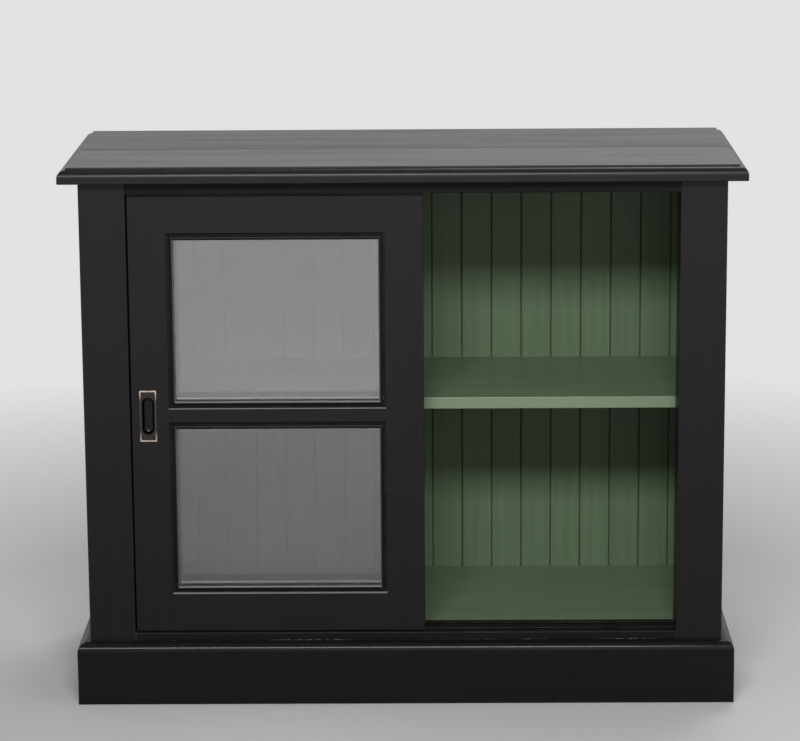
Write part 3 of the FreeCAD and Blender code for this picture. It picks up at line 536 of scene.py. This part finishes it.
# shares of half the height, and of the rubbing and painted highlight at the sides and the ends
END_STARTS = 0.60
SIDE_WEAR_AND_HIGHLIGHT, END_WEAR_AND_HIGHLIGHT = 0.04, 0.85
UPPER_END_HIGHLIGHT = 1.2
PATCH_SPAN, PATCH_RUB = (0.30, 0.52), (0.55, 1.0)
PATINA_ROUGH, RIM_ROUGH, CUP_POLISH = 0.42, 0.30, 0.18
for door in ("front_door", "rear_door"):
    low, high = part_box(f"{door}_pull")
    middle, half = (low.z + high.z) / 2, (high.z - low.z) / 2
    metal, tree, shader = new_material(f"{door}_pull_brass")
    place = here(tree)
    at = axes(tree, place)
    depth = maths(tree, "SUBTRACT", at["Y"], low.y)
    from_middle = maths(tree, "ABSOLUTE", maths(tree, "SUBTRACT", at["Z"], middle))
    patches = noise(tree, place, scale=190.0, detail=4.0)
    # bare brass on the rim: partly wear, partly painted highlight, brightest at the upper end
    handled = product(tree, between(tree, from_middle, END_STARTS * half, half, SIDE_WEAR_AND_HIGHLIGHT, END_WEAR_AND_HIGHLIGHT),
                      between(tree, at["Z"], middle, high.z, 1.0, UPPER_END_HIGHLIGHT),
                      between(tree, patches, *PATCH_SPAN, *PATCH_RUB))
    rubbed = maths(tree, "MULTIPLY", between(tree, depth, *RIM_FRONT), handled, clamp=True)
    inside = between(tree, depth, *CUP_INSIDE)
    rough = maths(tree, "SUBTRACT", between(tree, rubbed, 0.0, 1.0, PATINA_ROUGH, RIM_ROUGH),
                  product(tree, inside, CUP_POLISH))
    feed(tree, shader, {"Base Color": tint(tree, rubbed, tint(tree, inside, PATINA, CUP), RIM),
                        "Roughness": rough, "Metallic": 1.0})
    finish_with(metal, f"{door}_pull")


# Studio: a round pale floor that fades into a pale surround under a darker ceiling. A wide soft
# lamp stands high in front; a low fill in front and lamps above, at the right and behind lift the
# shadows.
SURROUND = (0.77, 0.76, 0.775, 1.0)
# how much brighter the surround is in mirrors than to the eye
MIRRORED = 1.75
FLOOR = (0.40, 0.39, 0.40, 1.0)
FLOOR_RADIUS, FLOOR_RINGS, FLOOR_SPOKES = 4.2, 24, 96
FLOOR_LEVEL = -0.0004
FADES_TO_EYE = (0.85, 2.2)
FADES_IN_MIRROR = (1.96, 2.20)


def disc(radius, rings, spokes, level):
    """Points s * radius from the middle at an angle t: a flat grid in s and t, at a level."""
    s = np.linspace(0.0, 1.0, rings + 1)[1:, None]
    t = np.linspace(0.0, 2.0 * np.pi, spokes, endpoint=False)[None, :]
    x, y = radius * s * np.cos(t), radius * s * np.sin(t)
    points = np.stack([x, y, np.full_like(x, level)], -1).reshape(-1, 3)
    ring, spoke = np.meshgrid(np.arange(rings - 1), np.arange(spokes), indexing="ij")
    after = (spoke + 1) % spokes
    quads = np.stack([ring * spokes + spoke, (ring + 1) * spokes + spoke,
                      (ring + 1) * spokes + after, ring * spokes + after], -1).reshape(-1, 4)
    middle = [list(range(spokes))]
    return points, quads.tolist() + middle


def kinds_of_ray(tree):
    """Whether a ray comes from the eye, a mirror or glass, and whether it comes from a mirror."""
    path = add(tree, "ShaderNodeLightPath").outputs
    eye_or_mirror = maths(tree, "ADD", path["Is Camera Ray"], path["Is Glossy Ray"])
    seen = maths(tree, "ADD", eye_or_mirror, path["Is Transmission Ray"], clamp=True)
    return seen, path["Is Glossy Ray"]


points, faces = disc(FLOOR_RADIUS, FLOOR_RINGS, FLOOR_SPOKES, FLOOR_LEVEL)
floor_mesh = bpy.data.meshes.new("studio_floor")
floor_mesh.from_pydata(points.tolist(), [], faces)
floor = bpy.data.objects.new("studio_floor", floor_mesh)
bpy.context.scene.collection.objects.link(floor)
pale, tree, shader = new_material("pale_floor")
feed(tree, shader, {"Base Color": FLOOR, "Roughness": 0.85})
away = add(tree, "ShaderNodeVectorMath", {0: here(tree)}, operation="LENGTH").outputs["Value"]
seen, mirrored = kinds_of_ray(tree)
not_mirrored = maths(tree, "SUBTRACT", 1.0, mirrored)
fading = maths(tree, "ADD", product(tree, between(tree, away, *FADES_IN_MIRROR), mirrored),
               product(tree, between(tree, away, *FADES_TO_EYE), not_mirrored))
glow = between(tree, mirrored, 0.0, 1.0, 1.0, MIRRORED)
surround = add(tree, "ShaderNodeEmission", {"Color": SURROUND, "Strength": glow})
mixed = add(tree, "ShaderNodeMixShader", {0: product(tree, fading, seen), 1: shader.outputs[0],
                                          2: surround.outputs[0]})
feed(tree, tree.nodes["Material Output"], {"Surface": mixed.outputs[0]})
floor_mesh.materials.append(pale)

AMBIENT = 0.36
CEILING = (0.22, 0.55)
CEILING_MIRRORED = 0.15
world = bpy.data.worlds.new("pale_surround")
bpy.context.scene.world = world
world.use_nodes = True
tree = world.node_tree
seen, mirrored = kinds_of_ray(tree)
upwards = axes(tree, add(tree, "ShaderNodeTexCoord").outputs["Generated"])["Z"]
horizon = between(tree, upwards, *CEILING, MIRRORED, CEILING_MIRRORED)
in_gloss = maths(tree, "ADD", product(tree, horizon, mirrored),
                 maths(tree, "SUBTRACT", 1.0, mirrored))
level = product(tree, between(tree, seen, 0.0, 1.0, AMBIENT, 1.0), in_gloss)
feed(tree, tree.nodes["Background"], {"Color": SURROUND, "Strength": level})

# each lamp's place, aim, width and height in metres, and power in watts
LAMPS = {
    "key_softbox": ((-0.15, -3.3, 2.53), (0.0, -0.1, 0.42), (1.7, 0.56), 158.0),
    "front_fill": ((0.3, -4.2, 1.1), (0.0, 0.0, 0.4), (1.6, 1.6), 10.0),
    "right_softbox": ((3.0, -2.2, 1.9), (0.0, -0.1, 0.45), (1.4, 1.4), 20.0),
    "overhead_softbox": ((0.0, 0.1, 3.2), (0.0, 0.0, 0.8), (2.2, 1.6), 10.0),
    "rear_softbox": ((0.9, 2.1, 3.5), (0.0, 0.2, 0.45), (1.8, 1.2), 66.0),
}
for name, (stand, aim, size, power) in LAMPS.items():
    light = bpy.data.lights.new(name, "AREA")
    light.shape = "RECTANGLE"
    light.size, light.size_y = size
    light.energy = power
    lamp = bpy.data.objects.new(name, light)
    bpy.context.scene.collection.objects.link(lamp)
    lamp.location = stand
    lamp.rotation_euler = (Vector(aim) - Vector(stand)).to_track_quat("-Z", "Y").to_euler()
    lamp.visible_camera = False


# Camera: a long lens at about standing height, four and a half metres in front and a little right
# of the middle, looking slightly down. It isn't shifted, so the uprights draw together a little
# towards the floor.
STAND = (0.04174, -4.6766, 1.4833)
PITCH, ROLL, YAW = -0.2140, -0.0071, -0.0105
FOCAL_PIXELS, PICTURE_WIDTH = 3134.01, 800.0
SENSOR_WIDTH = 36.0
camera_data = bpy.data.cameras.new("camera")
camera_data.sensor_width = SENSOR_WIDTH
camera_data.lens = FOCAL_PIXELS / PICTURE_WIDTH * SENSOR_WIDTH
camera = bpy.data.objects.new("camera", camera_data)
bpy.context.scene.collection.objects.link(camera)
camera.matrix_world = (Matrix.Translation(STAND)
                       @ Matrix.Rotation(-YAW, 4, "Z")
                       @ Matrix.Rotation(math.pi / 2 + PITCH, 4, "X")
                       @ Matrix.Rotation(ROLL, 4, "Z"))
bpy.context.scene.camera = camera
